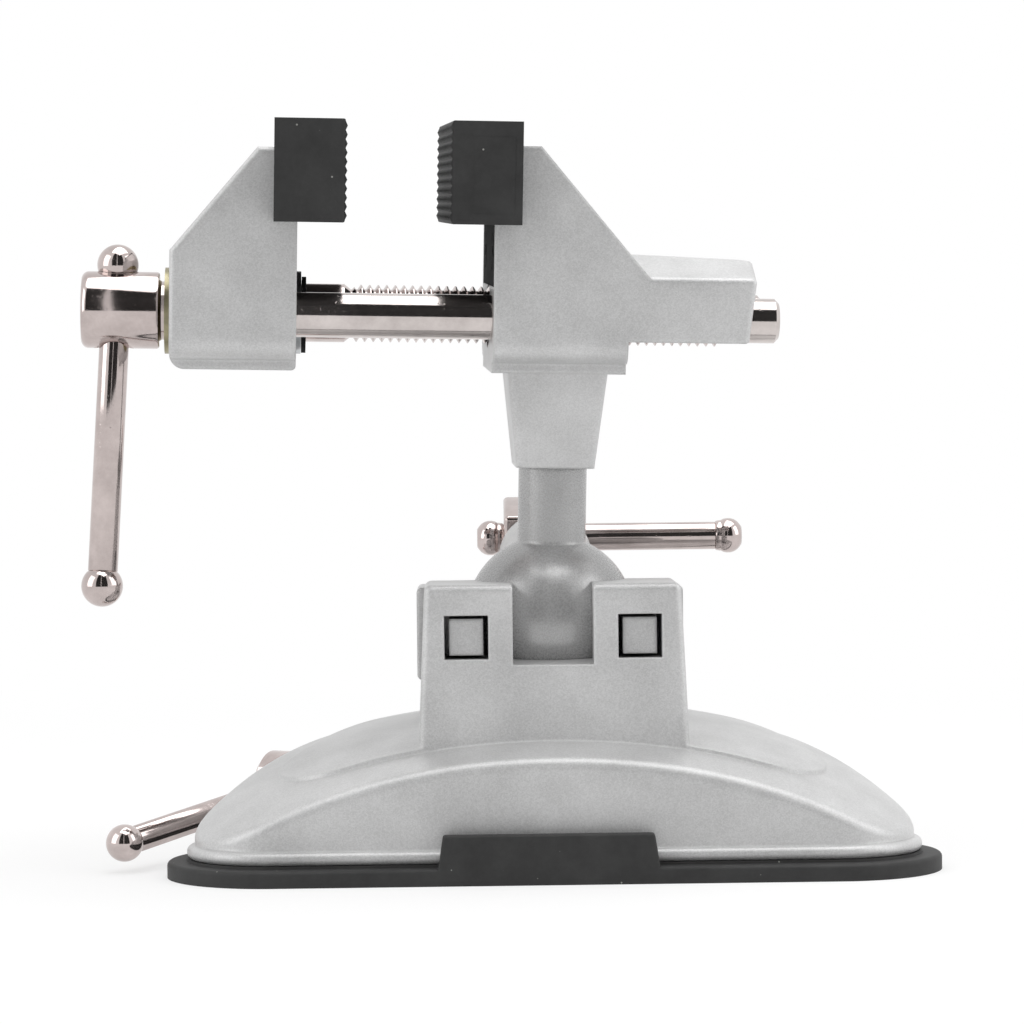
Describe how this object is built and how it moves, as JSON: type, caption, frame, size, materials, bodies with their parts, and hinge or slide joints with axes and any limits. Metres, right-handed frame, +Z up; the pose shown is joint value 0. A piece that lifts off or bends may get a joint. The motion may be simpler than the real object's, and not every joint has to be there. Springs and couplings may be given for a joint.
{
  "type": "suction base vise",
  "caption": "Small bench vise on a lever-operated suction base, with a ball clamp, sliding jaw, guide rods, soft pads and T-bar screws.",
  "frame": {"origin": "middle of the base's three corners, on the table under the suction cup", "axes": "+Z up, +X the way the fixed jaw lies, -Y the front with the ball's notch"},
  "size_m": [0.173, 0.141, 0.1542],
  "materials": {
    "silver_casting": "silver hammered lacquer on die-cast metal",
    "satin_ball": "tumbled silver finish",
    "black_rubber": "matt moulded rubber",
    "nickel_steel": "bright nickel plate",
    "black_steel": "blackened steel",
    "yellow_zinc": "yellow zinc plate",
    "plain_steel": "bare steel",
    "bronze": "turned bronze"
  },
  "bodies": {
    "base": {"base_casting": "silver_casting", "suction_cup": "black_rubber"},
    "suction_pull": {"suction_plate": "plain_steel", "pull_stud": "plain_steel"},
    "suction_cam": {"cam_shaft": "nickel_steel", "cam_clip": "black_steel"},
    "suction_lever_bar": {"suction_bar": "nickel_steel", "suction_bar_knob": "nickel_steel"},
    "clamp_slide": {"clamp_jaw": "silver_casting"},
    "clamp_spindle": {"clamp_screw": "nickel_steel"},
    "clamp_handle": {"clamp_bar": "nickel_steel", "clamp_bar_caps": "nickel_steel"},
    "stem": {"ball_stem": "satin_ball"},
    "head": {"fixed_jaw": "silver_casting", "fixed_jaw_plate": "black_steel", "fixed_plate_screws": "black_steel", "fixed_soft_pad": "black_rubber", "thread_nut": "bronze", "stem_lock_screw": "black_steel"},
    "slider": {"moving_jaw": "silver_casting", "moving_jaw_plate": "black_steel", "moving_plate_screws": "black_steel", "moving_soft_pad": "black_rubber", "front_guide_rod": "nickel_steel", "rear_guide_rod": "nickel_steel", "rod_pins": "plain_steel", "thrust_washer": "yellow_zinc", "inner_washer": "plain_steel"},
    "spindle": {"lead_screw": "nickel_steel", "retaining_clip": "black_steel"},
    "jaw_handle": {"jaw_bar": "nickel_steel", "jaw_bar_knob": "nickel_steel"}
  },
  "joints": [
    {"name": "suction_lever_turn", "type": "hinge", "parent": "base", "child": "suction_cam", "pos_m": [0, 0, 0.012], "axis": [-0.866, 0.5, 0], "range_deg": [0, 180]},
    {"name": "suction_bar_slide", "type": "slide", "parent": "suction_cam", "child": "suction_lever_bar", "axis": [0.4979, 0.8625, 0.0906], "range_m": [0, 0.0572]},
    {"name": "pull_stud_lift", "type": "slide", "parent": "base", "child": "suction_pull", "axis": [0, 0, 1], "range_m": [0, 0.0028]},
    {"name": "clamp_jaw_slide", "type": "slide", "parent": "base", "child": "clamp_slide", "axis": [0, 0.9455, 0.3256], "range_m": [0, 0.0002]},
    {"name": "clamp_screw_turn", "type": "hinge", "parent": "clamp_slide", "child": "clamp_spindle", "pos_m": [0, -0.015, 0.05], "axis": [0, 0.9455, 0.3256], "range_deg": [0, 48.1]},
    {"name": "clamp_bar_slide", "type": "slide", "parent": "clamp_spindle", "child": "clamp_handle", "axis": [1, 0, 0], "range_m": [-0.0285, 0]},
    {"name": "ball_tilt", "type": "hinge", "parent": "base", "child": "stem", "pos_m": [0, -0.015, 0.05], "axis": [0.9997, 0, -0.0262], "range_deg": [-31, 81.3]},
    {"name": "head_swivel", "type": "hinge", "parent": "stem", "child": "head", "pos_m": [0, -0.015, 0.05], "axis": [0.0261, -0.0645, 0.9976], "continuous": true},
    {"name": "jaw_slide", "type": "slide", "parent": "head", "child": "slider", "axis": [0.9985, 0.0505, -0.0229], "range_m": [-0.036, 0.0197]},
    {"name": "lead_screw_turn", "type": "hinge", "parent": "slider", "child": "spindle", "pos_m": [0.00163, -0.01903, 0.11225], "axis": [0.9985, 0.0505, -0.0229], "continuous": true},
    {"name": "jaw_bar_slide", "type": "slide", "parent": "spindle", "child": "jaw_handle", "axis": [0.0521, 0.1112, 0.9924], "range_m": [0, 0.047]}
  ],
  "couplings": [
    {"joint": "pull_stud_lift", "follows": "suction_lever_turn", "m_per_rad": 0.00089127},
    {"joint": "clamp_screw_turn", "follows": "clamp_jaw_slide", "rad_per_m": 4188.8},
    {"joint": "lead_screw_turn", "follows": "jaw_slide", "rad_per_m": 3590.4}
  ]
}
